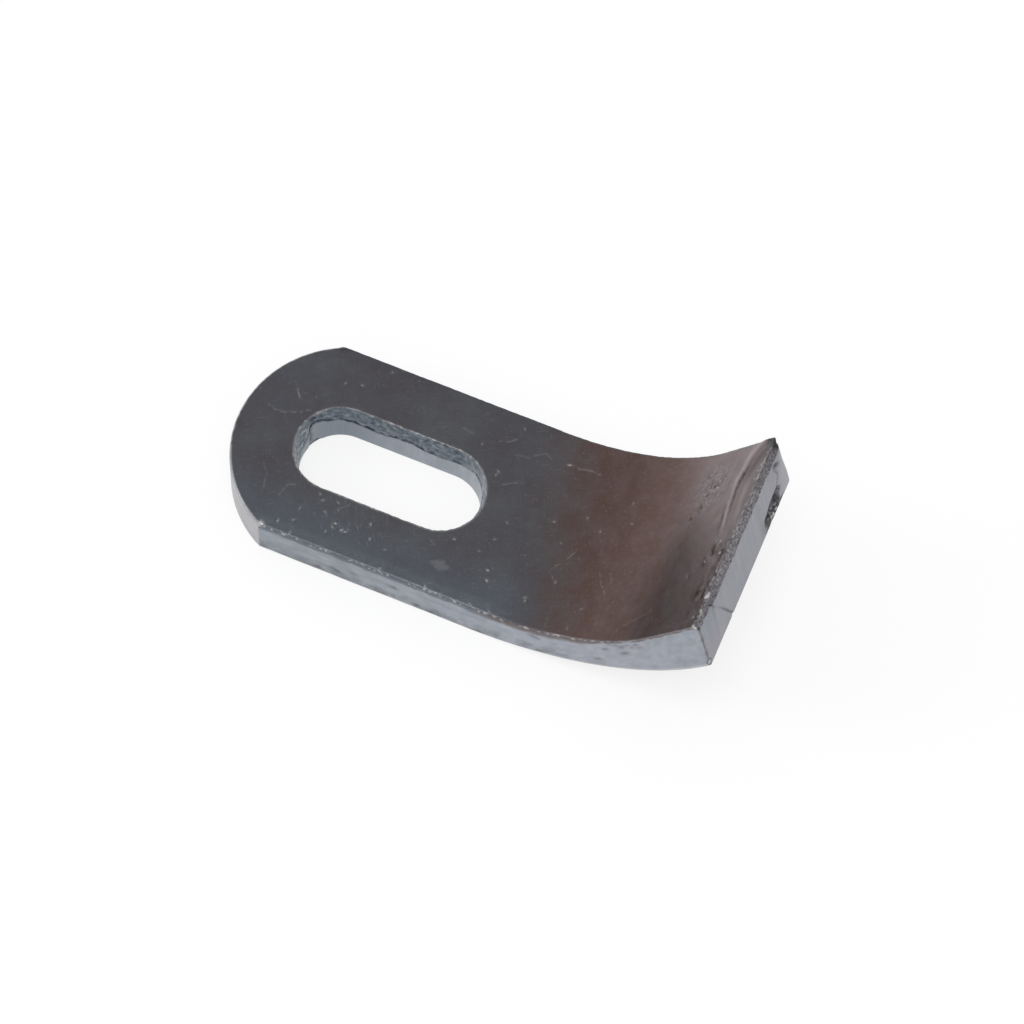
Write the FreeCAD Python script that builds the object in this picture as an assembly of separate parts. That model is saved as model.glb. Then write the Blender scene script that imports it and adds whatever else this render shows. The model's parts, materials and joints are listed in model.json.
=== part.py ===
import FreeCAD, Part
import math
import os

# Mulcher blade: one piece of flat steel bar. The head hangs on a shackle through a long slot and is
# trimmed to an arc, and the striking end is pressed up into a scoop with a steep trimmed face.
# Millimetres. +Z up from the flat underside, +Y along the bar towards the scoop, origin at the
# middle of the slot on the underside.

# Bar stock
bar_width = 40.0
bar_thickness = 10.0
top_edge_radius = 0.5
underside_edge_radius = 0.7

# Shackle slot, punched from below: a smooth land, then a torn zone that widens to the top face
slot_width = 15.5
slot_length = 35.5
slot_land_height = 6.3
slot_tear_growth = 0.8
slot_rollover_radius = 0.6

# Head, trimmed to an arc a little wider than the bar, so that it meets both sides at a corner
head_wall = 12.55
head_arc_growth = 1.5
head_rollover_radius = 0.4

# Scoop, pressed between two arcs with different centres, so that the bar draws thin in the bend
# and gathers at the lip
shank_past_slot = 9.55
inner_bend_radius = 35.4
lip_angle = math.radians(57.0)
lip_straight = 15.7
outer_bend_lead = 3.4
outer_bend_growth = 8.5

# End of the lip: a torn facet square to the lip, then a smooth face trimmed almost straight down
tear_facet_width = 1.9
trim_face_draft = math.radians(12.0)
worn_corner_radius = 2.2

# Crescent that the press left on the inside of the lip, open to the end and nearer the worn side
crescent_radius = 14.0
crescent_width = 7.0
crescent_depth = 0.3
crescent_from_side = 10.5

# Chip broken out of the lower edge of the trimmed face
chip_radius = 5.6
chip_depth = 1.3
chip_rise = 3.2
chip_from_side = 8.0

half_width = bar_width / 2
head_reach = slot_length / 2 + head_wall
head_arc_radius = half_width + head_arc_growth
inner_bend_start = slot_length / 2 + shank_past_slot
cut_margin = 5.0
tolerance = 0.01

axis_x = FreeCAD.Vector(1, 0, 0)
axis_z = FreeCAD.Vector(0, 0, 1)


class SideProfile:
    """Corner points of the blade seen from the side, as (y, z) pairs."""

    def __init__(self):
        self.inner_centre = (inner_bend_start, bar_thickness + inner_bend_radius)
        self.outer_start = inner_bend_start - outer_bend_lead
        self.outer_radius = inner_bend_radius + bar_thickness + outer_bend_growth
        self.lip_root = self.on_inner_arc(lip_angle)
        self.lip_along = (math.cos(lip_angle), math.sin(lip_angle))
        self.lip_outward = (math.sin(lip_angle), -math.cos(lip_angle))
        self.lip_edge = step(self.lip_root, self.lip_along, lip_straight)
        self.tear_end = step(self.lip_edge, self.lip_outward, tear_facet_width)
        self.trim_down = (math.sin(trim_face_draft), -math.cos(trim_face_draft))
        self.trim_height = self.reach_of_trim()
        self.toe = step(self.tear_end, self.trim_down, self.trim_height)

    def on_inner_arc(self, angle):
        centre_y, centre_z = self.inner_centre
        return (centre_y + inner_bend_radius * math.sin(angle),
                centre_z - inner_bend_radius * math.cos(angle))

    def on_outer_arc(self, angle):
        return (self.outer_start + self.outer_radius * math.sin(angle),
                self.outer_radius * (1 - math.cos(angle)))

    def reach_of_trim(self):
        """Length of the trimmed face, down to where it meets the outer arc."""
        from_centre_y = self.tear_end[0] - self.outer_start
        from_centre_z = self.tear_end[1] - self.outer_radius
        along = from_centre_y * self.trim_down[0] + from_centre_z * self.trim_down[1]
        inside = self.outer_radius ** 2 - from_centre_y ** 2 - from_centre_z ** 2
        return -along + math.sqrt(along ** 2 + inside)

    def toe_angle(self):
        return math.atan2(self.toe[0] - self.outer_start, self.outer_radius - self.toe[1])


def step(point, direction, distance):
    return (point[0] + direction[0] * distance, point[1] + direction[1] * distance)


def at(x, point):
    return FreeCAD.Vector(x, point[0], point[1])


def edge_between(start, end):
    return Part.LineSegment(start, end).toShape()


def arc_through(start, middle, end):
    return Part.Arc(start, middle, end).toShape()


def edges_where(shape, test):
    """Edges whose vertices and middle all pass the test."""
    found = []
    for edge in shape.Edges:
        middle = edge.valueAt((edge.FirstParameter + edge.LastParameter) / 2)
        points = [vertex.Point for vertex in edge.Vertexes] + [middle]
        if all(test(point) for point in points):
            found.append(edge)
    return found


def pressed_bar(profile):
    """The bar with its scoop, still square at the back, with rolled long edges."""
    x = -half_width
    back = -(head_reach + cut_margin)
    back_low = (back, 0.0)
    back_high = (back, bar_thickness)
    outer_start = (profile.outer_start, 0.0)
    inner_start = (inner_bend_start, bar_thickness)
    outline = [
        edge_between(at(x, back_low), at(x, outer_start)),
        arc_through(at(x, outer_start), at(x, profile.on_outer_arc(profile.toe_angle() / 2)), at(x, profile.toe)),
        edge_between(at(x, profile.toe), at(x, profile.tear_end)),
        edge_between(at(x, profile.tear_end), at(x, profile.lip_edge)),
        edge_between(at(x, profile.lip_edge), at(x, profile.lip_root)),
        arc_through(at(x, profile.lip_root), at(x, profile.on_inner_arc(lip_angle / 2)), at(x, inner_start)),
        edge_between(at(x, inner_start), at(x, back_high)),
        edge_between(at(x, back_high), at(x, back_low)),
    ]
    bar = Part.Face(Part.Wire(outline)).extrude(axis_x * bar_width)
    bar = bar.makeFillet(worn_corner_radius, far_corner(bar, profile))
    bar = bar.makeFillet(top_edge_radius, long_edges(bar, profile, inner=True))
    return bar.makeFillet(underside_edge_radius, long_edges(bar, profile, inner=False))


def far_corner(bar, profile):
    """The corner between the trimmed face and the side at low X, which is worn round."""

    def on_corner(point):
        from_tear_y = point.y - profile.tear_end[0]
        from_tear_z = point.z - profile.tear_end[1]
        across = from_tear_y * profile.trim_down[1] - from_tear_z * profile.trim_down[0]
        return abs(point.x + half_width) < tolerance and abs(across) < tolerance

    return edges_where(bar, on_corner)


def long_edges(bar, profile, inner):
    """The chain of edges along both sides, on the inside of the scoop or on its outside."""

    def on_chain(point):
        if abs(abs(point.x) - half_width) > tolerance:
            return False
        if inner:
            return on_inside(profile, point)
        return on_outside(profile, point)

    return edges_where(bar, on_chain)


def on_inside(profile, point):
    if point.y <= inner_bend_start + tolerance:
        return abs(point.z - bar_thickness) < tolerance
    from_root_y = point.y - profile.lip_root[0]
    from_root_z = point.z - profile.lip_root[1]
    along = from_root_y * profile.lip_along[0] + from_root_z * profile.lip_along[1]
    if along >= -tolerance:
        outward = from_root_y * profile.lip_outward[0] + from_root_z * profile.lip_outward[1]
        return abs(outward) < tolerance
    centre_y, centre_z = profile.inner_centre
    return abs(math.hypot(point.y - centre_y, point.z - centre_z) - inner_bend_radius) < tolerance


def on_outside(profile, point):
    if point.y <= profile.outer_start + tolerance:
        return abs(point.z) < tolerance
    reach = math.hypot(point.y - profile.outer_start, point.z - profile.outer_radius)
    return abs(reach - profile.outer_radius) < tolerance


def head_waste():
    """What the trimming tool takes off behind the head arc."""
    centre_y = head_arc_radius - head_reach
    depth = bar_thickness + 2 * cut_margin
    corner = FreeCAD.Vector(-half_width - cut_margin, -head_reach - 2 * cut_margin, -cut_margin)
    width = bar_width + 2 * cut_margin
    length = centre_y - corner.y
    block = Part.makeBox(width, length, depth, corner)
    kept = Part.makeCylinder(head_arc_radius, depth, FreeCAD.Vector(0, centre_y, -cut_margin), axis_z)
    return block.cut(kept)


def obround(width, length, z):
    """Closed outline of a slot along Y, with half-round ends."""
    radius = width / 2
    straight = length / 2 - radius
    front_right = FreeCAD.Vector(radius, straight, z)
    front_left = FreeCAD.Vector(-radius, straight, z)
    back_left = FreeCAD.Vector(-radius, -straight, z)
    back_right = FreeCAD.Vector(radius, -straight, z)
    return Part.Wire([
        edge_between(back_right, front_right),
        arc_through(front_right, FreeCAD.Vector(0, length / 2, z), front_left),
        edge_between(front_left, back_left),
        arc_through(back_left, FreeCAD.Vector(0, -length / 2, z), back_right),
    ])


def slot_slug():
    """What the punch takes out: a straight land below and a flared tear above it."""
    growth = 2 * slot_tear_growth
    rise = bar_thickness - slot_land_height
    reach = (rise + cut_margin) / rise
    land = Part.Face(obround(slot_width, slot_length, -cut_margin)).extrude(
        axis_z * (slot_land_height + cut_margin))
    low = obround(slot_width, slot_length, slot_land_height)
    high = obround(slot_width + growth * reach, slot_length + growth * reach, bar_thickness + cut_margin)
    return land.fuse(Part.makeLoft([low, high], True, True))


def press_crescent(profile):
    """A shallow disc that marks the inside of the lip where it overlaps the end."""
    inward = FreeCAD.Vector(0, -profile.lip_outward[0], -profile.lip_outward[1])
    along = FreeCAD.Vector(0, profile.lip_along[0], profile.lip_along[1])
    edge = at(crescent_from_side - half_width, profile.lip_edge)
    centre = edge + along * (crescent_radius - crescent_width) - inward * crescent_depth
    return Part.makeCylinder(crescent_radius, cut_margin, centre, inward)


def chip_ball(profile):
    """The ball that scoops the chip from the lower edge of the trimmed face."""
    outward = (math.cos(trim_face_draft), math.sin(trim_face_draft))
    on_face = step(profile.toe, profile.trim_down, -chip_rise)
    centre = step(on_face, outward, chip_radius - chip_depth)
    return Part.makeSphere(chip_radius, at(chip_from_side - half_width, centre))


def rim_on_underside(blade, along_rim):
    """Edges of the flat underside whose points pass the test for one rim."""
    return edges_where(blade, lambda point: abs(point.z) < tolerance and along_rim(point))


def on_slot_rim(point):
    return abs(point.x) < slot_width / 2 + tolerance and abs(point.y) < slot_length / 2 + tolerance


def on_head_rim(point):
    centre_y = head_arc_radius - head_reach
    return abs(math.hypot(point.x, point.y - centre_y) - head_arc_radius) < tolerance


def make_blade():
    profile = SideProfile()
    blade = pressed_bar(profile)
    blade = blade.cut(head_waste())
    blade = blade.cut(slot_slug())
    blade = blade.makeFillet(slot_rollover_radius, rim_on_underside(blade, on_slot_rim))
    blade = blade.makeFillet(head_rollover_radius, rim_on_underside(blade, on_head_rim))
    blade = blade.cut(press_crescent(profile))
    return blade.cut(chip_ball(profile))


os.makedirs("parts", exist_ok=True)
blade = make_blade()
blade.exportStep("parts/blade.step")
print("solids", len(blade.Solids), "valid", blade.isValid(), "volume", round(blade.Volume))
print("centre", blade.CenterOfGravity, "box", blade.BoundBox)
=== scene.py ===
import json
import math

import bpy
import numpy as np
from mathutils import Matrix, Vector, noise
from mathutils.geometry import delaunay_2d_cdt


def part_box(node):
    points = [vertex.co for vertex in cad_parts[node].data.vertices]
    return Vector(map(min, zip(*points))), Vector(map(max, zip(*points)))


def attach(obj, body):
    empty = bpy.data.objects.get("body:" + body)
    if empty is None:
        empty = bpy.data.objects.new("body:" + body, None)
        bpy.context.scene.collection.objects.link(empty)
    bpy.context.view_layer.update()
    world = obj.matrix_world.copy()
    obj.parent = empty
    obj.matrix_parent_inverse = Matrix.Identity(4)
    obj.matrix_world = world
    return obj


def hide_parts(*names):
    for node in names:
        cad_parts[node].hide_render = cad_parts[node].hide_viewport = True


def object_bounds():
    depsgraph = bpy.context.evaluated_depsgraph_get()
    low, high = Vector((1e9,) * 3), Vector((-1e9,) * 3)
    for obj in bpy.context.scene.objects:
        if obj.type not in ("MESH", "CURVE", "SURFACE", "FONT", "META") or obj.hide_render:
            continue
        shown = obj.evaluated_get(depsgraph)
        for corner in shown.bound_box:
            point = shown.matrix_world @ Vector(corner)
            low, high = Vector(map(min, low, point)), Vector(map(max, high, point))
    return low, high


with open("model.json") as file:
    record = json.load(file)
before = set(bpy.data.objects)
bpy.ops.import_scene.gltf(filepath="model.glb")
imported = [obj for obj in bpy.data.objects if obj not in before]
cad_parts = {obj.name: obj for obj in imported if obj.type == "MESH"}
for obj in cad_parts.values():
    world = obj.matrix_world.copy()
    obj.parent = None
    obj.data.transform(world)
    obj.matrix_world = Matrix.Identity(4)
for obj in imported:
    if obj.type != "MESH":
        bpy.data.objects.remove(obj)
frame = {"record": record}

cad_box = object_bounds()

# The bar and its scoop
# Flat steel bar, rolled hot. One end is heated and pressed up into a scoop, which thins the bar in
# the bend and gathers it at the lip. Lengths are millimetres. A place is told as on the flat bar: a
# across, u along the top face from the slot's middle, share down from the top (0) to the bottom (1).
MM = 0.001
mounts = {mount["name"]: mount for mount in frame["record"]["mounts"]}
blade_low, blade_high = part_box("blade")
half_width = blade_high[0] / MM
thickness = mounts["shank_top"]["pos_m"][2] / MM
top_edge_radius = 0.5
under_edge_radius = 0.7
shoulder_width = 3.0
shoulder_fall = 0.12
drawn_corner = 4.0
far_edge_share = 0.6

inner_start = 27.3
inner_radius = 35.4
lip_angle = math.radians(57.0)
lip_straight = 15.7
outer_start = 23.9
outer_radius = 53.9
lip_root = inner_start + inner_radius * lip_angle
lip_end = lip_root + lip_straight


def top_line(u):
    """Points (y, z) of the top face at u, along the shank, the bend and the straight lip."""
    angle = np.clip((u - inner_start) / inner_radius, 0, lip_angle)
    past = np.maximum(u - lip_root, 0)
    y = np.minimum(u, inner_start) + inner_radius * np.sin(angle) + past * math.cos(lip_angle)
    z = thickness + inner_radius * (1 - np.cos(angle)) + past * math.sin(lip_angle)
    return np.stack([y, z], axis=-1)


def under_line(v):
    """Points (y, z) of the underside, v along it."""
    angle = np.maximum(v - outer_start, 0) / outer_radius
    y = np.minimum(v, outer_start) + outer_radius * np.sin(angle)
    return np.stack([y, outer_radius * (1 - np.cos(angle))], axis=-1)


def top_roll(a, u):
    """How far the top face falls towards the long edges: a soft shoulder, then the rolled edge.
    The press drew the far corner of the lip out to a point, so there the edge stays sharp."""
    past = np.clip(np.abs(a) - half_width + top_edge_radius, 0, top_edge_radius)
    edge = top_edge_radius - np.sqrt(top_edge_radius ** 2 - past ** 2)
    shoulder = shoulder_fall * np.clip((np.abs(a) - half_width + shoulder_width) / shoulder_width, 0, 1) ** 2
    drawn = (a < 0) * np.clip((u - lip_end + drawn_corner) / drawn_corner, 0, 1)
    return (edge + shoulder) * np.where(a < 0, far_edge_share, 1.0) * (1 - drawn)


def under_roll(a):
    past = np.clip(np.abs(a) - half_width + under_edge_radius, 0, under_edge_radius)
    return under_edge_radius - np.sqrt(under_edge_radius ** 2 - past ** 2)


askew = np.array(Matrix.Rotation(0.7, 3, Vector((1, 2, 3))))


def ripple(places, size, seed):
    """Smooth random relief from -1 to 1, with bumps about size millimetres wide. Noise has a square
    grain of its own, which is turned askew to the bar so that it doesn't show."""
    shift = Vector((17.3 * seed, -9.1 * seed, 4.7 * seed))
    return np.array([noise.noise(Vector(place) / size + shift) for place in places @ askew])


def ease(low, high, value):
    share = np.clip((value - low) / (high - low), 0, 1)
    return share * share * (3 - 2 * share)


# The end of the lip
# The press tears the metal off in a rough facet square to the lip, and a die then trims the rest
# almost straight down and smooth. The crease between the two wanders, and steps at a crack.
tear_facet = 1.9
trim_draft = math.radians(12.0)
lip_edge = top_line(np.array(lip_end))
tear_end = lip_edge + tear_facet * np.array([math.sin(lip_angle), -math.cos(lip_angle)])
trim_down = np.array([math.sin(trim_draft), -math.cos(trim_draft)])
from_centre = tear_end - np.array([outer_start, outer_radius])
along_trim = from_centre @ trim_down
trim_height = -along_trim + math.sqrt(along_trim ** 2 + outer_radius ** 2 - from_centre @ from_centre)
toe = tear_end + trim_height * trim_down
toe_v = outer_start + outer_radius * math.atan2(toe[0] - outer_start, outer_radius - toe[1])
end_wall = tear_facet + trim_height
crease_share = tear_facet / end_wall
crease_rise = 0.4
crease_wander = 0.2
crack_a = 14.7
crack_step = 0.35
stretch_start = 20.0
end_blend = 5.0


def end_line(a, share):
    """Points (y, z) down the end of the lip: the torn facet, the crease and the trimmed face."""
    across = np.stack([a, np.zeros_like(a), np.zeros_like(a)], axis=-1)
    drop = crease_wander * (ripple(across, 4.0, 1) + 0.6 * ripple(across, 1.1, 2)) - crease_rise
    drop = drop - crack_step * (ease(crack_a - 0.3, crack_a + 0.3, a) + ease(-17.5, -19.5, a))
    crease = tear_end + (drop / tear_facet)[..., None] * (tear_end - lip_edge)
    above = np.minimum(share / crease_share, 1)[..., None]
    below = np.maximum((share - crease_share) / (1 - crease_share), 0)[..., None]
    return lip_edge + above * (crease - lip_edge) + below * (toe - crease)


def place_on_blade(a, u, share):
    """Points (x, y, z) in millimetres of the pressed blade for places on the flat bar."""
    stretch = (toe_v - stretch_start) / (lip_end - stretch_start)
    v = np.where(u < stretch_start, u, stretch_start + (u - stretch_start) * stretch)
    top = top_line(u)
    level = top + (under_line(v) - top) * share[..., None]
    near_end = np.clip((u - lip_end + end_blend) / end_blend, 0, 1) ** 2
    chord = lip_edge + (toe - lip_edge) * share[..., None]
    bent = near_end > 0
    level[bent] += (end_line(a[bent], share[bent]) - chord[bent]) * near_end[bent, None]
    return np.concatenate([a[..., None], level], axis=-1)


def wall_height(u):
    """Length of the wall at u from the top face to the underside."""
    return thickness + (end_wall - thickness) * ease(inner_start, lip_end, u)


# The head
# Sheared to an arc a little wider than the bar, so it meets both sides at a blunt corner, with its
# edges drawn a little round. The wall all round the bar is one set of rows, from a little way in
# along the top face to a little way in along the underside.
head_radius = half_width + 2.1
head_centre = head_radius + blade_low[1] / MM
head_top_radius = 0.5
head_under_radius = 0.4
end_top_radius = 0.15
toe_radius = 0.3
worn_shares = [0.0, 0.07, 0.13, 0.5, 0.65, 0.8, 1.0]
worn_radii = [0.7, 1.2, 1.9, 1.7, 1.3, 1.0, 0.9]
worn_least = 0.12

side_step = 0.36
end_step = 0.25
corner_u = head_centre - math.sqrt(head_radius ** 2 - half_width ** 2)
side_count = round((lip_end - corner_u) / side_step)
end_count = round(2 * half_width / end_step)
tip_count = 9
head_count = round(2 * head_radius * math.asin(half_width / head_radius) / side_step)
side_share = np.arange(side_count) / side_count
end_share = np.arange(end_count) / end_count
tip_turn = np.arange(tip_count) / tip_count * math.pi / 2
head_share = np.arange(head_count) / head_count
SIDE, END, HEAD, SLOT, TOP, UNDER = range(6)
part_of_node = np.concatenate([
    np.full(side_count, SIDE), np.full(end_count + tip_count, END),
    np.full(side_count, SIDE), np.full(head_count, HEAD),
])


def outline(side_inset, end_inset, head_inset, worn):
    """Closed loop of places (a, u) round the bar: near side, end, worn corner, far side, head."""
    a = half_width - side_inset
    end = lip_end - end_inset
    reach = head_radius - head_inset
    corner = head_centre - math.sqrt(reach ** 2 - a ** 2)
    tip_a = max(worn - side_inset, worn_least)
    tip_u = max(worn - end_inset, worn_least)
    near = np.stack([np.full(side_count, a), corner + (end - corner) * side_share], axis=-1)
    lip = np.stack([a - (2 * a - tip_a) * end_share, np.full(end_count, end)], axis=-1)
    tip = np.stack([tip_a - a - tip_a * np.sin(tip_turn), end - tip_u * (1 - np.cos(tip_turn))], axis=-1)
    far = np.stack([np.full(side_count, -a), end - tip_u + (corner - end + tip_u) * side_share], axis=-1)
    swing = math.asin(a / reach) * (2 * head_share - 1)
    head = np.stack([reach * np.sin(swing), head_centre - reach * np.cos(swing)], axis=-1)
    return np.concatenate([near, lip, tip, far, head])


band_insets = np.array([1.0, 0.6, 0.25])
corner_turn = np.linspace(0, math.pi / 2, 6)
wall_steps = 34
wall_share = np.arange(1, wall_steps + 1) / (wall_steps + 1)
over_wall = band_insets.size + corner_turn.size
under_wall = corner_turn.size + band_insets.size - 1
row_share = np.concatenate([np.zeros(over_wall), wall_share, np.ones(under_wall)])
row_turn = np.concatenate([
    np.zeros(band_insets.size), corner_turn, np.full(wall_steps, math.pi / 2),
    corner_turn[::-1], np.zeros(band_insets.size - 1),
])
crease_at = 6 / (wall_steps + 1)
tear_at = 13 / (wall_steps + 1)


def edge_rows(top_radius, under_radius):
    """Inset, drop below the top face and rise above the underside of each row of a wall."""
    radius = np.where(np.arange(row_share.size) < over_wall + wall_steps // 2, top_radius, under_radius)
    no_band = np.zeros(row_share.size - 2 * band_insets.size + 1)
    band = np.concatenate([band_insets, no_band, band_insets[:0:-1]])
    inset = radius * (1 - np.sin(row_turn)) + band
    drop = np.where(row_share < 1, top_radius * (1 - np.cos(row_turn)), top_radius)
    rise = np.where(row_share > 0, under_radius * (1 - np.cos(row_turn)), under_radius)
    return inset, drop, rise


def folded(share, turn_at, start, turn, stop):
    """Level of a row between start and stop, so that the row at turn_at lies on the fold."""
    above = start + (turn - start) * share / turn_at
    below = turn + (stop - turn) * (share - turn_at) / (1 - turn_at)
    return np.where(share < turn_at, above, below)


side_inset, side_drop, side_rise = edge_rows(top_edge_radius, under_edge_radius)
end_inset, end_drop, end_rise = edge_rows(end_top_radius, toe_radius)
head_inset, head_drop, head_rise = edge_rows(head_top_radius, head_under_radius)
drops = np.stack([0 * side_drop, end_drop, head_drop])
rises = np.stack([0 * side_rise, end_rise, head_rise])

rim_rows = []
for row, share in enumerate(row_share):
    worn = np.interp(share, worn_shares, worn_radii)
    loop = outline(side_inset[row], end_inset[row], head_inset[row], worn)
    height = wall_height(loop[:, 1])
    start = (top_roll(loop[:, 0], loop[:, 1]) + drops[part_of_node, row]) / height
    stop = 1 - (under_roll(loop[:, 0]) + rises[part_of_node, row]) / height
    level = start + (stop - start) * share
    level = np.where(part_of_node == END, folded(share, crease_at, start, crease_share, stop), level)
    rim_rows.append(np.column_stack([loop, level]))
rim = np.stack(rim_rows)

# The shackle slot
# Punched from below: the lower part is smooth where the punch cut, and above that the metal tore,
# wider than the punch and rough, up to a ragged rim on the top face. The tear starts at a level
# that wanders along the wall, told here by the distance round the slot from its near back corner.
slot_radius = mounts["shackle_slot"]["dims"]["hole_r_mm"]
slot_straight = mounts["shackle_slot"]["dims"]["slot_length_mm"] / 2 - slot_radius
tear_growth = 0.8
rim_radius = 0.15
rollover_radius = 0.4
tear_depths = [(0, 4.4), (6, 3.4), (30, 3.2), (34.9, 2.3), (37.7, 3.0), (39.5, 2.5), (41, 3.3), (43.4, 4.0),
               (47.7, 4.5), (50.9, 4.2), (54.4, 3.3), (58.2, 4.2), (62.9, 4.2), (69.6, 3.2), (71.4, 2.4),
               (73.5, 1.6), (74.3, 5.6), (77, 8.2), (83, 8.2), (88.7, 4.4)]
slot_side_count = round(2 * slot_straight / side_step)
slot_turn_count = round(math.pi * slot_radius / side_step)
slot_along = slot_straight * (2 * np.arange(slot_side_count) / slot_side_count - 1)
slot_turn = np.arange(slot_turn_count) / slot_turn_count * math.pi
half_loop = slot_side_count + slot_turn_count
round_slot = np.concatenate([slot_along + slot_straight, 2 * slot_straight + slot_radius * slot_turn])
round_slot = np.concatenate([round_slot, round_slot + 2 * slot_straight + math.pi * slot_radius])


def slot_loop(growth):
    """Closed loop of places (a, u) round the slot, grown into the bar: near side, front, far side, back."""
    halves = []
    for growth_here, sign in ((growth[:half_loop], 1), (growth[half_loop:], -1)):
        reach = slot_radius + growth_here[slot_side_count:]
        straight = np.stack([slot_radius + growth_here[:slot_side_count], slot_along], axis=-1)
        turn = np.stack([reach * np.cos(slot_turn), slot_straight + reach * np.sin(slot_turn)], axis=-1)
        halves += [sign * straight, sign * turn]
    return np.concatenate(halves)


slot_places = np.column_stack([slot_loop(np.zeros(2 * half_loop)), np.zeros(2 * half_loop)])
tear_depth = np.interp(round_slot, [place for place, _ in tear_depths], [depth for _, depth in tear_depths])
tear_level = (tear_depth + 0.45 * ripple(slot_places, 1.8, 3) + 0.3 * ripple(slot_places, 0.8, 4)) / thickness
slot_inset, slot_drop, slot_rise = edge_rows(rim_radius, rollover_radius)

slot_rows = []
for row, share in enumerate(row_share):
    start = slot_drop[row] / thickness
    stop = 1 - slot_rise[row] / thickness
    level = folded(share, tear_at, start, tear_level, stop)
    growth = tear_growth * np.clip(1 - level / tear_level, 0, 1) + slot_inset[row]
    slot_rows.append(np.column_stack([slot_loop(growth), level]))
slot = np.stack(slot_rows)

# Marks on the top face
# The press squeezed a crescent into the lip and raised a ridge round it. Handling left scratches,
# each of (shine, places), and small bright nicks of (shine, u, a). All places are (u, a), and the
# mesh is closer along them.
press_ridge = [(77.9, -19.8), (76.3, -19.5), (74.6, -18.5), (73.3, -16.5), (72.3, -12.9), (71.9, -10.9),
               (72.1, -8.9), (72.6, -5.8), (73.5, -2.2), (73.9, 1.4)]
second_ridge = [(77.3, -16.8), (77.6, -14.8), (77.5, -12.8), (77.7, -11.0)]
scratches = [
    (0.16, [(-26.0, -3.1), (-24.3, -2.7), (-22.3, -2.9), (-19.8, -4.1), (-18.0, -5.4)]),
    (0.2, [(-23.3, -9.4), (-22.1, -7.9), (-20.9, -6.5)]),
    (0.14, [(-22.8, -9.2), (-21.8, -7.7), (-21.2, -6.9)]),
    (0.22, [(29.7, -13.7), (31.0, -13.9), (32.2, -13.7), (34.3, -14.0), (36.5, -13.7)]),
    (0.16, [(38.3, 2.2), (37.0, 4.8), (35.6, 6.6), (34.7, 7.8), (35.6, 8.3), (37.0, 10.2)]),
    (0.12, [(37.4, 5.6), (36.6, 7.4)]),
    (0.13, [(20.5, -5.3), (22.4, -6.5), (23.5, -7.0)]),
    (0.1, [(23.5, -13.0), (25.2, -14.2), (26.8, -13.6)]),
    (0.1, [(20.4, -11.8), (23.0, -12.2)]),
    (0.12, [(53.9, 17.5), (56.4, 15.9), (59.7, 14.5), (61.7, 12.9)]),
    (0.24, [(38.4, 17.0), (38.6, 18.7)]),
    (0.2, [(42.4, 17.3), (43.4, 19.2)]),
    (0.14, [(44.4, 5.8), (45.8, 8.4), (47.7, 10.4)]),
    (0.12, [(46.8, 6.0), (47.6, 7.6)]),
    (0.12, [(-5.7, 12.3), (-5.0, 10.9), (-3.7, 9.7)]),
    (0.1, [(9.2, -13.0), (11.5, -12.6)]),
    (0.14, [(16.4, -13.2), (18.3, -13.9), (19.3, -15.0)]),
    (0.12, [(8.3, -8.9), (10.5, -9.3)]),
    (0.1, [(-16.5, 12.8), (-15.9, 10.4), (-14.6, 9.9)]),
    (0.1, [(-21.8, 8.2), (-20.4, 10.0), (-19.9, 12.5)]),
    (0.1, [(12.2, 10.3), (13.7, 11.2)]),
]
nicks = [
    (0.5, -14.7, 17.9), (0.3, -12.1, 16.6), (0.55, -4.8, 14.2), (0.25, -7.5, 12.9), (0.45, 1.2, 11.8),
    (0.6, -3.3, 15.0), (0.5, -2.5, 15.1), (0.35, -5.0, 15.1), (0.4, 2.2, 14.6), (0.3, -5.8, 16.4),
    (0.35, -8.8, 10.8), (0.3, -6.0, 10.2), (0.3, -9.7, 9.9), (0.25, -12.0, 14.0), (0.2, 5.6, 15.5),
    (0.6, 24.4, 11.8), (0.65, 25.0, 13.8), (0.35, 33.0, 14.9), (0.3, 32.7, 14.3), (0.4, 16.4, 8.5),
    (0.35, 18.6, -7.4), (0.25, 18.4, -6.6), (0.3, 30.2, -13.8), (0.35, 31.9, -1.9), (0.2, 24.0, 1.6),
    (0.3, 41.0, -2.4), (0.25, 37.5, -4.5), (0.25, 23.2, 5.6), (0.2, 34.8, 1.8), (0.25, 36.9, 9.6),
    (0.25, -14.5, -12.9), (0.25, -7.4, -18.4), (0.3, -11.5, -13.7), (0.2, 19.8, -17.4), (0.2, 13.6, -11.4),
    (0.2, 44.0, 13.8), (0.2, 21.5, 8.9), (0.2, 46.6, -5.0), (0.2, 45.0, -9.3), (0.3, 64.3, -11.6),
    (0.6, 72.0, 5.3), (0.5, 72.4, 5.5), (0.5, 74.6, 1.6), (0.3, 73.2, 1.2), (0.5, 75.6, 4.0),
    (0.6, 65.1, -11.8), (0.3, 76.4, -11.5), (0.5, 76.7, -14.5), (0.4, 76.6, -13.2), (0.35, 76.2, 17.6),
    (0.4, 15.2, 19.3), (0.4, -11.6, 19.2), (0.5, 6.3, 19.2), (0.35, 24.0, 19.3), (0.3, 27.8, 19.2),
]
nick_radius = 0.2
scratch_width = 0.14


def along_path(path, spacing, offsets):
    """Places (a, u) along a path of places (u, a), and beside it at the offsets."""
    path = np.array(path)[:, ::-1]
    steps = np.diff(path, axis=0)
    lengths = np.hypot(steps[:, 0], steps[:, 1])
    found = []
    for corner, step, length in zip(path[:-1], steps, lengths):
        share = np.linspace(0, 1, max(2, round(length / spacing)), endpoint=False)
        across = np.array([step[1], -step[0]]) / length
        for offset in offsets:
            found.append(corner + share[:, None] * step + offset * across)
    return np.concatenate(found)


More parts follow.
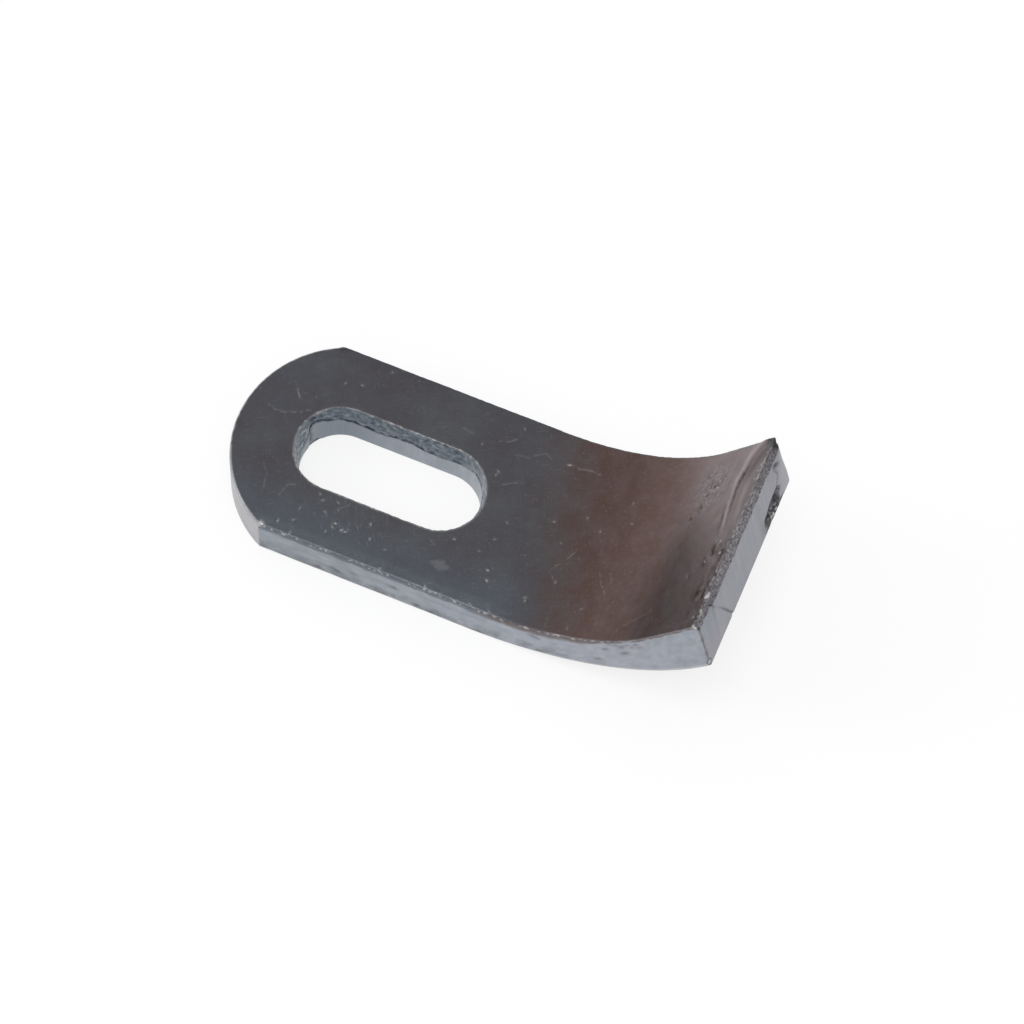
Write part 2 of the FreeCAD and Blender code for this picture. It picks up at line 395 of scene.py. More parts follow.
def beside_path(a, u, path):
    """Distance from a path of places (u, a), below zero on one side, and the share passed along it."""
    path = np.array(path)[:, ::-1]
    nearest = np.full(a.shape, np.inf)
    side = np.ones(a.shape)
    along = np.zeros(a.shape)
    lengths = np.hypot(*np.diff(path, axis=0).T)
    passed = np.concatenate([[0], np.cumsum(lengths)])
    for index, (corner, after) in enumerate(zip(path[:-1], path[1:])):
        step = after - corner
        share = np.clip(((a - corner[0]) * step[0] + (u - corner[1]) * step[1]) / (step @ step), 0, 1)
        off_a, off_u = a - corner[0] - share * step[0], u - corner[1] - share * step[1]
        distance = np.hypot(off_a, off_u)
        closer = distance < nearest
        side = np.where(closer, np.sign(step[0] * off_u - step[1] * off_a), side)
        along = np.where(closer, (passed[index] + share * lengths[index]) / passed[-1], along)
        nearest = np.minimum(nearest, distance)
    return np.where(side > 0, nearest, -nearest), along


ring_turn = np.arange(6) / 6 * 2 * math.pi
ring = np.stack([np.cos(ring_turn), np.sin(ring_turn)], axis=-1)
nick_places = np.array(nicks)[:, :0:-1]
mark_places = [
    along_path(press_ridge, 0.3, (-0.75, -0.5, -0.25, 0, 0.25, 0.5, 0.75)),
    along_path(second_ridge, 0.25, (-0.3, -0.12, 0, 0.12, 0.3)),
    nick_places, (nick_places[:, None] + nick_radius * ring).reshape(-1, 2),
    (nick_places[:, None] + 1.9 * nick_radius * ring).reshape(-1, 2),
]
for _, path in scratches:
    mark_places.append(along_path(path, 0.3, np.array([-1.6, -0.6, 0, 0.6, 1.6]) * scratch_width))
mark_places = np.concatenate(mark_places)


def kept_inside(found, gap, outer_loop, slot_reach):
    """The places (a, u) that keep the gap to the outer loop and to the slot."""
    a, u = found.T
    reach = head_centre - outer_loop[:, 1].min()
    inside = (np.abs(a) < outer_loop[:, 0].max() - gap) & (u < outer_loop[:, 1].max() - gap)
    inside &= (u > head_centre) | (np.hypot(a, u - head_centre) < reach - gap)
    inside &= np.hypot(a, np.maximum(np.abs(u) - slot_straight, 0)) > slot_reach + gap
    return found[inside]


def even_places(spacing, outer_loop, slot_reach, low_u, high_u):
    """Evenly spread places inside the outer loop and outside the slot, from low_u to high_u."""
    edge = outer_loop[:, 0].max()
    rows = np.arange(low_u + spacing / 2, high_u, spacing * math.sqrt(3) / 2)
    across = np.arange(-edge, edge, spacing)
    a = np.stack([across + spacing / 2 * (row % 2) for row in range(rows.size)])
    u = np.repeat(rows[:, None], across.size, axis=1)
    return kept_inside(np.column_stack([a.ravel(), u.ravel()]), 0.6 * spacing, outer_loop, slot_reach)


def clear_of(places, others, gap):
    """The places that keep the gap to all the others."""
    keep = np.ones(len(places), bool)
    for other in others:
        near = np.abs(places - other).max(axis=1) < gap
        keep[near] = np.hypot(*(places[near] - other).T) >= gap
    return places[keep]


def fill(outer_loop, slot_rim, inner_places):
    """Triangles between the outer loop and the slot's rim, through the inner places."""
    corners = np.concatenate([outer_loop, slot_rim, inner_places])
    outer_ring = np.arange(len(outer_loop))
    slot_ring = len(outer_loop) + np.arange(len(slot_rim))
    edges = [np.stack([ring, np.roll(ring, -1)], axis=-1) for ring in (outer_ring, slot_ring)]
    edges = np.concatenate(edges).tolist()
    _, _, found, came_from, _, _ = delaunay_2d_cdt([Vector(corner) for corner in corners], edges, [], 1, 1e-6)
    triangles = np.array([[came_from[corner][0] for corner in triangle] for triangle in found])
    in_slot = np.isin(triangles, slot_ring).all(axis=1)
    return triangles[~in_slot]


fine_from = lip_end - 19.0
slot_reach = np.abs(slot[0, :, 0]).max()
top_spread = np.concatenate([
    even_places(0.5, rim[0, :, :2], slot_reach, rim[0, :, 1].min(), fine_from),
    even_places(0.3, rim[0, :, :2], slot_reach, fine_from, lip_end),
])
mark_places = kept_inside(mark_places, 0.1, rim[0, :, :2], slot_reach)
top_inner = np.concatenate([mark_places, clear_of(top_spread, mark_places, 0.2)])
under_reach = np.abs(slot[-1, :, 0]).max()
under_inner = even_places(1.0, rim[-1, :, :2], under_reach, rim[-1, :, 1].min(), lip_end)

row_count, rim_count = rim.shape[:2]
slot_first = row_count * rim_count
top_first = slot_first + row_count * 2 * half_loop
under_first = top_first + len(top_inner)
rim_index = np.arange(row_count * rim_count).reshape(row_count, rim_count)
slot_index = slot_first + np.arange(row_count * 2 * half_loop).reshape(row_count, 2 * half_loop)
top_index = np.concatenate([rim_index[0], slot_index[0], top_first + np.arange(len(top_inner))])
under_index = np.concatenate([rim_index[-1], slot_index[-1], under_first + np.arange(len(under_inner))])
top_triangles = top_index[fill(rim[0, :, :2], slot[0, :, :2], top_inner)]
under_triangles = under_index[fill(rim[-1, :, :2], slot[-1, :, :2], under_inner)][:, ::-1]


def wall_quads(index, inward):
    """Quads between the rows of a wall, each row a closed loop."""
    after = np.roll(index, -1, axis=1)
    corners = [index[:-1], index[1:], after[1:], after[:-1]]
    if inward:
        corners.reverse()
    return np.stack(corners, axis=-1).reshape(-1, 4)


rim_quads = wall_quads(rim_index, inward=False)
slot_quads = wall_quads(slot_index, inward=True)

top_level = top_roll(top_inner[:, 0], top_inner[:, 1]) / wall_height(top_inner[:, 1])
under_level = 1 - under_roll(under_inner[:, 0]) / wall_height(under_inner[:, 1])
places = np.concatenate([
    rim.reshape(-1, 3), slot.reshape(-1, 3),
    np.column_stack([top_inner, top_level]), np.column_stack([under_inner, under_level]),
])
a, u, level = places.T
part = np.concatenate([
    np.tile(part_of_node, row_count), np.full(row_count * 2 * half_loop, SLOT),
    np.full(len(top_inner), TOP), np.full(len(under_inner), UNDER),
])
row_of = np.concatenate([
    np.repeat(np.arange(row_count), rim_count), np.repeat(np.arange(row_count), 2 * half_loop),
    np.zeros(len(top_inner), int), np.full(len(under_inner), row_count - 1),
])
turned = np.sin(row_turn)[row_of]
on_top = (row_of < over_wall) & (part != UNDER)
depth = level * wall_height(u)
plate = np.stack([a, u, depth], axis=-1)

mesh = bpy.data.meshes.new("pressed_blade")
faces = rim_quads.tolist() + slot_quads.tolist() + top_triangles.tolist() + under_triangles.tolist()
points = place_on_blade(a, u, level)
mesh.from_pydata(points * MM, [], faces)
normals = np.empty(3 * len(points))
mesh.vertices.foreach_get("normal", normals)
normals = normals.reshape(-1, 3)

# Relief of the surfaces
# What rolling, pressing, tearing, trimming and wear did to each face, raised or sunk along its
# normal in millimetres. With it go the weights, from 0 to 1, that tell the finishes where the
# steel is torn, bare or painted with glints, dark or painted with shade, browned by heat, or
# paled on the lip, partly as a painted reflection.
on_side = part == SIDE
on_end = part == END
on_head = part == HEAD
in_slot = part == SLOT


def bell(distance, width=1.0):
    """Falls off round a line or a place, from 1 at no distance to 0.37 at the width."""
    return np.exp(-(distance / width) ** 2)


relief = 0.018 * ripple(plate, 14.0, 5) + 0.01 * ripple(plate, 3.0, 6)
relief -= 0.03 * (on_side | on_head | (part == UNDER))
torn, bare, dark = np.zeros((3, len(places)))
grit = ripple(plate, 0.9, 7)
fine_grit = ripple(plate, 0.45, 8)

# The torn facet, and the flakes that the tear left along the inside of the lip
on_facet = on_end & (level < crease_share)
relief -= on_facet * ease(0.0, 0.4, depth) * (0.1 + 0.16 * grit + 0.1 * fine_grit)
torn[on_end & (level < crease_share * 1.02)] = 1.0
flakes = on_top * ease(70.5, 76.5, u + 1.5 * grit) * ease(-1.0, 5.0, a)
relief += flakes * (0.09 * ripple(plate, 1.6, 19) + 0.06 * grit)
dark += 0.35 * flakes * ease(0.1, 0.4, -grit)
edge_flakes = on_top * ease(77.0, 77.9, u + 0.8 * grit + 0.5 * ease(2.0, 16.0, a))
relief += edge_flakes * (0.04 * grit + 0.05 * fine_grit)
torn = np.maximum(torn, 0.5 * edge_flakes)
flecks = ease(0.18 - 0.12 * (a > 9), 0.4, ripple(plate, 0.6, 20)) * ease(77.0, 77.6, u)
bare += (0.45 + 0.5 * (a > 9) - 0.2 * (a < -9)) * edge_flakes * flecks
dark += 0.34 * edge_flakes * ease(7.0, 2.0, a) * ease(-19.0, -12.0, a)
dark += on_facet * (0.16 * ease(8.0, 13.0, a) + 0.22 * ease(-6.0, -14.0, a))

# The crescent: its ridge, with a painted highlight on its lit side, the groove on the end side of
# it, with painted shade in it, and the sunk floor; and the second ridge along the lip edge, with
# painted glints on it and painted shade beside it
ridge_height = 0.26
groove_depth = 0.16
floor_depth = 0.2
second_height = 0.14
gap, along = beside_path(a, u, press_ridge)
strength = on_top * ease(0.0, 0.1, along) * (1 - ease(0.8, 1.0, along))
height = 0.75 + 0.6 * ripple(plate, 2.0, 9)
relief += strength * ridge_height * height * bell(gap + 0.5)
relief -= strength * groove_depth * bell(gap - 0.55, 0.3)
relief -= strength * floor_depth * ease(0.3, 2.4, gap)
# Painted shade: the groove on the end side of the ridge is painted dark.
groove_shade = bell(gap - 0.45 + 0.5 * fine_grit, 0.26) * ease(0.25, 0.4, along) * ease(0.8, 0.6, along)
dark += strength * 0.8 * height * groove_shade
dark += strength * 0.5 * bell(gap - 2.0, 1.3) * ease(0.5, 0.3, along)
bare += strength * 0.1 * bell(gap - 2.6, 0.6) * ease(0.4, 0.6, along)
# A painted highlight: the lit side of the ridge is painted light pinkish beige, wider towards the far end.
ridge_highlight_width = 0.6 + 1.1 * ease(0.5, 0.1, along)
pressed = strength * (0.7 - 0.2 * ease(0.35, 0.1, along)) * height
pressed *= bell(gap + 0.7 * ridge_highlight_width, ridge_highlight_width)
gap, along = beside_path(a, u, second_ridge)
relief += on_top * second_height * bell(gap, 0.22)
# A painted highlight of bright glints along the second ridge, and painted shade in a dark line beside it.
bare += on_top * 0.8 * bell(gap, 0.25) * ease(-0.15, 0.2, fine_grit)
dark += on_top * 0.7 * bell(gap + 0.45, 0.3) * ease(-0.3, 0.2, grit)

# Lumps of folded metal beside the end of the ridge (u, a, size, height), and a cluster of pits
# further in (u, a, size) among finer pitting
lumps = [
    (74.2, 3.0, 1.1, 0.32), (72.6, 5.3, 0.8, 0.24), (75.6, 4.6, 0.9, -0.3),
    (73.0, 3.9, 0.6, -0.35), (74.6, 12.2, 0.9, 0.2), (77.0, 13.2, 0.7, 0.3),
]
pits = [
    (61.1, -14.6, 0.5), (62.4, -13.6, 0.4), (63.4, -12.5, 0.6), (64.9, -11.9, 0.7), (63.3, -10.5, 0.5),
    (65.2, -13.4, 0.4), (68.1, -9.8, 0.5), (62.0, -7.6, 0.5), (60.4, -5.6, 0.4), (68.5, 7.7, 0.4),
]
for lump_u, lump_a, size, height in lumps:
    lump = on_top * bell(np.hypot(a - lump_a, u - lump_u), size)
    relief += lump * height * (1 + 0.8 * fine_grit)
    dark += lump * 1.1 * ease(-0.2, 0.2, -height * grit - 0.02)
for pit_u, pit_a, size in pits:
    pit = on_top * bell(np.hypot(a - pit_a, (u - pit_u) * 0.8), size)
    relief -= pit * 0.12 * (1 + fine_grit)
    dark += pit * 0.5 * ease(-0.3, 0.3, fine_grit)
pitted = on_top * bell(a + 12.0, 4.4) * bell(u - 63.5, 4.2)
relief -= pitted * (0.08 * ease(0.1, 0.5, grit) + 0.12 * ease(0.05, 0.35, fine_grit))
dark += pitted * (0.2 * ease(0.15, 0.4, grit) + 0.35 * ease(0.1, 0.35, fine_grit))
bare += pitted * 0.25 * ease(0.2, 0.45, -fine_grit)

# Scratches and nicks of handling on the top face. Each nick lies another way, with a painted
# shadow dark beside it.
scratch_depth = 0.025
nick_depth = 0.04
nick_turn = 2.4
broken = ease(-0.35, 0.15, ripple(plate, 0.8, 10))
for shine, path in scratches:
    gap, along = beside_path(a, u, path)
    scratch = on_top * bell(gap, scratch_width)
    relief -= scratch * scratch_depth
    bare += scratch * shine * broken
for index, (shine, nick_u, nick_a) in enumerate(nicks):
    cut_a, cut_u = math.cos(nick_turn * index), math.sin(nick_turn * index)
    lengthwise = ((a - nick_a) * cut_a + (u - nick_u) * cut_u) / 1.5
    across = ((u - nick_u) * cut_a - (a - nick_a) * cut_u) / 0.9
    nick = on_top * bell(np.hypot(lengthwise, across), nick_radius)
    relief -= nick * nick_depth
    bare += nick * 1.4 * shine
    # Painted shadow: a dark patch beside each nick.
    dark += on_top * shine * bell(np.hypot(lengthwise, across + 0.3), nick_radius)
relief *= np.where(on_top & on_end, 1 - 0.85 * turned, 1.0)

# The trimmed face, with v down it: a chip broken from its lower edge, in lobes of (a, v, half width,
# half height, lean, how dark it is), with a painted shadow beside it, a crack across it, a hair
# crack, and a black spot
chip_depth = 0.7
crack_depth = 0.2
hair_depth = 0.08
spot_depth = 0.15
chip_lobes = [
    (-11.7, 11.4, 3.9, 4.4, 0.1, 1.2), (-14.2, 8.6, 1.7, 1.4, 0.0, 0.7), (-15.6, 13.2, 1.6, 1.7, 0.5, 1.1),
]
crack = [(-0.5, 14.9), (0.8, 14.4), (2.0, 13.7), (3.9, 12.7), (6.3, 11.6), (8.8, 10.5), (11.7, 9.3),
         (12.9, 9.0)]
hair = [(1.2, -16.4), (1.9, -15.0), (4.6, -15.9), (6.2, -15.3), (7.4, -14.4), (8.2, -13.6)]
v = depth - tear_facet
chip = np.full(len(places), -1.0)
chip_darkness = np.zeros(len(places))
uneven = 0.4 * ripple(plate, 1.7, 11)
for lobe_a, lobe_v, half_a, half_v, lean, darkness in chip_lobes:
    lobe = 1 - ((a - lobe_a + lean * (v - lobe_v)) / half_a) ** 2 - ((v - lobe_v) / half_v) ** 2 + uneven
    chip = np.maximum(chip, lobe)
    chip_darkness = np.maximum(chip_darkness, darkness * ease(-0.1, 0.35, lobe + 0.2 * grit))
sunk = on_end * ease(0.0, 0.8, chip) * (1 - 0.92 * ease(9.8, 12.8, v))
relief -= sunk * (chip_depth + 0.4 * grit + 0.2 * fine_grit)
inside_chip = on_end * ease(-0.05, 0.35, chip + 0.3 * grit)
torn = np.maximum(torn, inside_chip)
dark += on_end * chip_darkness * (0.8 + 0.5 * ease(0.0, 0.3, -grit))
facets = ease(0.08, 0.32, ripple(plate * np.array([0.7, 0.7, 1]), 0.5, 21))
bare += inside_chip * 1.1 * facets * bell(a + 11.8, 1.9) * bell(v - 12.3, 1.5)
# Painted shadow: a soft dark patch beside the chip, on its near side.
dark += on_end * 0.5 * bell(a + 8.6, 1.9) * bell(v - 10.4, 2.4)
# Painted light: the trimmed face is painted lighter towards its far corner.
fresh = on_end * bell(a + 18.5, 2.2) * ease(1.0, 9.0, v)
gap, along = beside_path(a, v, crack)
open_crack = 0.1 + 0.9 * ease(0.25, 0.6, along) + 0.7 * ease(0.2, 0.08, along) + 0.5 * grit
open_crack *= on_end & (v > -0.8)
relief -= open_crack * crack_depth * bell(gap, 0.25)
dark += open_crack * bell(gap, 0.22)
gap, along = beside_path(a, v, hair)
relief -= on_end * hair_depth * bell(gap, 0.25)
dark += on_end * 0.6 * bell(gap, 0.28) * ease(0.0, 0.2, along)
spot = on_end * bell(np.hypot((a + 15.9 + 0.8 * (v - 1.7)) / 0.7, (v - 1.7) / 1.1))
relief -= spot * spot_depth
dark += spot * 1.4

# The near corner of the end is drawn to an uneven, dark edge, with a painted highlight, a bright
# glint, on top of it, and the far tip of the lip is crushed and painted dark
crushed_radius = 2.4
# A painted highlight: a bright glint on top of the near corner.
painted_corner_glint = np.array([half_width - 0.4, *top_line(np.array(77.4))])
bare += bell(np.linalg.norm(points - painted_corner_glint, axis=1), 0.35)
corner_gap = np.where(on_end, half_width - a, lip_end - u) + 0.35 * ripple(plate, 1.4, 22)
on_corner = (on_end | on_side) & (a > 0) & (turned > 0.9) & (depth > 1.0)
ragged = on_corner * bell(corner_gap, 0.38) * (0.8 + 0.6 * grit)
relief -= 0.12 * ragged
dark += 0.9 * ragged
far_tip = np.linalg.norm(points - np.array([-half_width, *lip_edge]), axis=1)
crushed = bell(far_tip, crushed_radius)
relief += crushed * (0.1 * grit + 0.08 * fine_grit)
dark += np.exp(-(far_tip / crushed_radius) ** 4) * (0.95 + 0.5 * grit)
bare *= 1 - np.exp(-(far_tip / 1.6) ** 4)
torn = np.maximum(torn, crushed)

# The slot: torn metal over a ledge, with a painted shadow along the ledge, and a crack and a broken
# corner at its back end. The front end is painted lighter, a painted reflection of the white
# studio, and the far wall at the back is painted darker and bluer, painted shade.
ledge_depth = 0.16
slot_crack_depth = 0.25
broken_depth = 0.35
crack_round = 73.6
broken_round = 72.6
place_round = np.zeros(len(places))
place_round[in_slot] = np.tile(round_slot, row_count)
below_tear = np.full(len(places), 9.0)
below_tear[in_slot] = (level[in_slot] - np.tile(tear_level, row_count)) * thickness
slot_wall = in_slot & (turned > 0.5)
# Painted reflection: at the front end the torn colour and its dark are held back, so it shows lighter.
painted_front_reflection = bell(place_round - 36.5, 5.0)
back_end = bell(place_round - 78.0, 5.0)
# Painted shade: the far wall at the back is painted darker and bluer.
shaded = slot_wall * ease(48.0, 72.0, place_round) * ease(88.7, 83.0, place_round)
tearing = slot_wall * ease(0.15, -0.15, below_tear)
smeared = ripple(plate * np.array([0.9, 0.9, 1.4]), 0.9, 12)
relief += tearing * (0.07 * grit + 0.13 * smeared + 0.05 * fine_grit)
relief -= slot_wall * ledge_depth * bell(below_tear + 0.3, 0.25) * (1 + grit)
torn = np.maximum(torn, tearing * (1 - 0.8 * painted_front_reflection))
dark += tearing * (1 - painted_front_reflection) * 0.35 * ease(0.1, 0.45, -smeared) * (1 - 0.5 * back_end)
bare += tearing * (0.2 + 0.25 * back_end) * ease(0.2, 0.5, smeared)
# Painted shadow: a dark line along the ledge below the torn metal.
ledge_shadow = slot_wall * bell(below_tear + 0.05, 0.17) * ease(-0.6, -0.1, grit)
dark += ledge_shadow * 0.6 * (1 - painted_front_reflection) * (1 - back_end)
crack_gap = place_round - crack_round - 0.35 * ripple(plate, 1.5, 13)
slot_crack = slot_wall * bell(crack_gap, 0.22) * ease(1.0, 2.0, depth)
relief -= slot_crack * slot_crack_depth
dark += 0.9 * slot_crack
broken = slot_wall * ease(1.8, 0.2, np.abs(place_round - broken_round)) * ease(8.4, 9.3, depth)
relief -= broken * broken_depth * (1 + grit)
dark += 0.9 * broken
ragged = in_slot * bell(depth - 0.05, 0.2) * (row_of >= band_insets.size)
relief += ragged * (a < 0) * (0.04 * grit + 0.04 * fine_grit)
bare += ragged * (0.16 + 0.12 * (a > 0) + 0.5 * ease(0.2, 0.4, ripple(plate, 0.6, 14)))

# The rolled edges and the sides: nicks along the top edges, with a painted highlight along the near
# one and painted shade along the far one, a strip below them that is rolled smooth or burnt, and
# dents of (u, depth, size) from handling
edge_nick_depth = 0.07
dent_sink = 0.12
dents = [
    (36.6, 2.9, 0.5), (37.6, 3.6, 0.4), (38.4, 9.3, 0.5), (54.6, 1.6, 0.5), (56.0, 2.4, 0.6),
    (57.6, 1.8, 0.5), (58.6, 3.0, 0.4), (14.0, 8.2, 0.6), (-2.0, 7.0, 0.5), (53.0, 1.2, 0.4),
    (59.8, 2.0, 0.5), (61.0, 3.2, 0.4), (52.0, 3.4, 0.5), (-5.6, 8.4, 0.7), (-3.0, 6.2, 0.5),
    (16.6, 8.8, 0.6), (9.4, 4.4, 0.6), (1.2, 5.2, 0.6), (56.8, 5.4, 0.7), (50.6, 8.4, 0.5),
    (38.0, 9.4, 0.4),
]
side_turn = on_side * turned
edge_turn = side_turn * (row_of < over_wall + 2)
crest_highlight_and_shade = edge_turn * ease(0.15, 0.5, edge_turn) * ease(1.0, 0.75, edge_turn)
nicked = ripple(plate * np.array([1, 0.8, 1]), 0.5, 16)
relief += edge_turn * edge_nick_depth * np.minimum(nicked, 0.1)
# Painted highlight in a light line and bright specks along the near top edge, and painted shade in a dark
# line along the far top edge.
bare += crest_highlight_and_shade * (a > 0) * (0.16 + (0.25 + 0.75 * ease(60.0, 46.0, u)) * ease(0.14, 0.32, nicked))
dark += crest_highlight_and_shade * (a < 0) * (0.75 + 0.5 * nicked)
strip = depth + 0.45 * ripple(plate, 2.2, 17) + 0.25 * grit
rolled = ease(0.1, 0.5, side_turn) * ease(2.0, 1.0, strip) * ease(34, 22, u)
burnt_reach = 0.75 + 1.5 * ease(55.0, 45.0, u) - 0.6 * (a < 0)
burnt_edge = ease(0.1, 0.5, side_turn) * ease(1.1, 0.5, strip / burnt_reach) * ease(22.0, 30.0, u)
foot_turn = side_turn * (row_of > over_wall + wall_steps - 2)
bare += 0.35 * foot_turn * ease(30.0, 42.0, u) * (a > 0)
side_wall = on_side & (turned > 0.9)
relief += side_wall * 0.03 * ripple(plate * np.array([1, 0.2, 0.8]), 1.0, 18)
for dent_u, dent_depth, size in dents:
    dent = side_wall * (a > 0) * bell(np.hypot((u - dent_u) * 0.6, depth - dent_depth), size)
    relief -= dent * dent_sink * (1 + grit)
    dark += dent * 0.5

# The head: its wall, painted lighter towards the near side, partly a painted reflection of the
# white floor; a painted highlight along its top edge; painted glints along its rim and at its near
# corner; and a burr at the far corner
burr_reach = 0.55
# Painted reflection: the head wall is painted lighter towards the near side, over its own bright sheared
# steel.
head_wall = on_head * turned * ease(-8.0, 12.0, a)
# Painted highlight: a light line along the head's rounded top edge, stronger on the far half.
head_edge_highlight = on_head * ease(0.2, 0.6, turned) * ease(1.0, 0.8, turned) * (level < 0.5)
bare += head_edge_highlight * (0.2 + 0.35 * ease(4.0, -6.0, a))
# Painted glints along the head's rim on the top face.
head_rim_glints = on_top * (u < corner_u + 0.5) * bell(head_radius - np.hypot(a, u - head_centre), 0.3)
bare += 0.8 * head_rim_glints * ease(0.0, 0.3, ripple(plate, 0.8, 23)) * ease(9.0, 4.0, a)
# A painted highlight: a bright glint at the near corner of the head.
bare += on_top * bell(np.hypot(a - half_width + 0.5, u - corner_u - 0.3), 0.45)
head_burr = np.hypot(a + half_width, u - corner_u)
dark += on_top * 0.6 * bell(head_burr)

points = points + normals * relief[:, None]
points[:, 1] -= burr_reach * ease(0.7, 0.2, level) * bell(head_burr, 0.8)
low, high = (np.array(corner) / MM for corner in cad_box)
points = np.clip(points, low, high)
mesh.vertices.foreach_set("co", (points * MM).ravel())

# Where the fire browned the steel, half as much below, and where the scale is bluish, with a
# lighter painted sheen along the near edge, pale on the lip, partly a painted reflection of the
# white floor, worn by handling or smeared. The sides are painted lighter, a painted reflection
# of the white studio, more so towards the lip, and darker at the foot of the shank.
dark += 0.12 * on_top * ease(-4.0, 10.0, a) * bell(u - 54.0, 5.0)
lower = (part == UNDER) | (row_of >= row_count - under_wall)
browned = ease(25.0, 46.0, u - 0.25 * a) * (1 - 0.5 * ease(52.0, 66.0, u)) * np.where(lower, 0.5, 1.0)
# Bluish scale on the head, and a lighter bluish band along the near edge, a painted sheen.
bluish = 0.4 * ease(-12.0, -24.0, u) * ease(4.0, -6.0, a)
bluish = np.maximum(ease(6.0, 19.0, a) * ease(40.0, 26.0, u), bluish)
# The lip is painted paler towards its far end, partly its own thin scale and partly a painted reflection of
# the white floor.
pale = ease(56.5, 68.0, u - 0.4 * a) * ease(34.0, -16.0, a)
pale *= 1 - ease(75.0, 76.6, u) * ease(-17.0, -9.0, a)
handled = on_top * bell(a - 13.0, 4.5) * bell(u + 3.0, 7.0)
smear = on_top * ease(1.15, 0.85, np.abs(u - 16.0) / 2.0 + np.abs(a - 14.4) / 1.25 + 0.3 * grit)
# Painted reflection: the side walls are painted lighter, more so towards the lip, over their own streaks and
# mottle.
flank = on_side * ease(0.2, 1.0, turned)
front_flank = flank * np.clip((u + 15.0) / 65.0, 0, 1) * (1 - 0.3 * ease(56.0, 70.0, u))
foot = flank * ease(5.0, 9.0, depth) * ease(50.0, 30.0, u) * np.where(a > 0, 1, 0.4)
weights = {
    "torn": torn, "bare": bare, "dark": dark, "browned": browned, "pale": pale, "bluish": bluish,
    "smear": smear, "shaded": shaded, "flank": flank, "front_flank": front_flank, "rolled": rolled,
    "burnt_edge": burnt_edge, "foot": foot, "handled": handled, "head_wall": head_wall,
    "fresh": fresh, "pressed": pressed,
}
for name, values in weights.items():
    mesh.attributes.new(name, "FLOAT", "POINT").data.foreach_set("value", np.clip(values, 0, 1))
mesh.attributes.new("plate", "FLOAT_VECTOR", "POINT").data.foreach_set("vector", plate.ravel())


def srgb(code):
    """Linear colour of an sRGB hex code."""
    parts = [int(code[place:place + 2], 16) / 255 for place in (1, 3, 5)]
    linear = [part / 12.92 if part <= 0.04045 else ((part + 0.055) / 1.055) ** 2.4 for part in parts]
    return (*linear, 1.0)


def add(tree, kind, settings, sockets):
    """Adds a node, sets its properties and sockets, and links the sockets given as outputs."""
    made = tree.nodes.new(kind)
    for name, value in settings.items():
        setattr(made, name, value)
    for name, value in sockets.items():
        if isinstance(value, bpy.types.NodeSocket):
            tree.links.new(value, made.inputs[name])
        else:
            made.inputs[name].default_value = value
    return made


MIX, MIX_UNDER, MIX_OVER, MIXED = 0, 6, 7, 2


def steel_finish(name, grown, ground, layers, marks, bumps, gloss):
    """A steel surface. Patterns grow on the flat bar, each (bump size in mm, or sizes across, along and
    through the bar, turn, noise level drawn as 0, level drawn as 1, detail). Over the ground colour lie
    layers of (weight on the mesh, pattern, cover, colour) and round marks of (centre on the bar,
    radius where it starts, radius where it is full, cover, colour). Bumps are (pattern, strength, mm).
    Gloss is a number, or (pattern or weight, number where it is 0, number where it is 1)."""
    finish = bpy.data.materials.new(name)
    finish.use_nodes = True
    tree = finish.node_tree
    tree.nodes.clear()
    where = add(tree, "ShaderNodeAttribute", {"attribute_name": "plate"}, {}).outputs["Vector"]
    patterns = {}
    for pattern, (size, turn, low, high, detail) in grown.items():
        lie = {"Vector": where, "Rotation": (0, 0, turn), "Scale": np.broadcast_to(size, 3)}
        lie = add(tree, "ShaderNodeMapping", {"vector_type": "TEXTURE"}, lie).outputs["Vector"]
        raw = {"Vector": lie, "Scale": 0.5, "Detail": detail, "Roughness": 0.6}
        raw = add(tree, "ShaderNodeTexNoise", {}, raw).outputs["Fac"]
        drawn = {"Value": raw, "From Min": low, "From Max": high}
        patterns[pattern] = add(tree, "ShaderNodeMapRange", {}, drawn).outputs["Result"]
    covers = []
    for weight, pattern, cover, over in layers:
        if weight:
            placed = add(tree, "ShaderNodeAttribute", {"attribute_name": weight}, {}).outputs["Fac"]
            cover = add(tree, "ShaderNodeMapRange", {}, {"Value": placed, "To Max": cover}).outputs["Result"]
        if pattern:
            spread = {"Value": patterns[pattern], "To Max": cover}
            cover = add(tree, "ShaderNodeMapRange", {}, spread).outputs["Result"]
        covers.append((cover, over))
    for centre, outer, inner, cover, over in marks:
        away = add(tree, "ShaderNodeVectorMath", {"operation": "DISTANCE"}, {0: where, 1: centre})
        spread = {"Value": away.outputs["Value"], "From Min": outer, "From Max": inner, "To Max": cover}
        covers.append((add(tree, "ShaderNodeMapRange", {}, spread).outputs["Result"], over))
    colour = srgb(ground)
    for cover, over in covers:
        laid = {MIX: cover, MIX_UNDER: colour, MIX_OVER: srgb(over)}
        colour = add(tree, "ShaderNodeMix", {"data_type": "RGBA"}, laid).outputs[MIXED]
    surface = {"Base Color": colour}
    for pattern, strength, height in bumps:
        raised = {"Height": patterns[pattern], "Strength": strength, "Distance": height * MM}
        if "Normal" in surface:
            raised["Normal"] = surface["Normal"]
        surface["Normal"] = add(tree, "ShaderNodeBump", {}, raised).outputs["Normal"]
    for socket, value in gloss.items():
        if isinstance(value, tuple):
            told_by, at_none, at_full = value
            amount = patterns.get(told_by)
            if not amount:
                amount = add(tree, "ShaderNodeAttribute", {"attribute_name": told_by}, {}).outputs["Fac"]
            spread = {"Value": amount, "To Min": at_none, "To Max": at_full}
            value = add(tree, "ShaderNodeMapRange", {}, spread).outputs["Result"]
        surface[socket] = value
    shader = add(tree, "ShaderNodeBsdfPrincipled", {}, surface)
    add(tree, "ShaderNodeOutputMaterial", {}, {"Surface": shader.outputs["BSDF"]})
    return finish
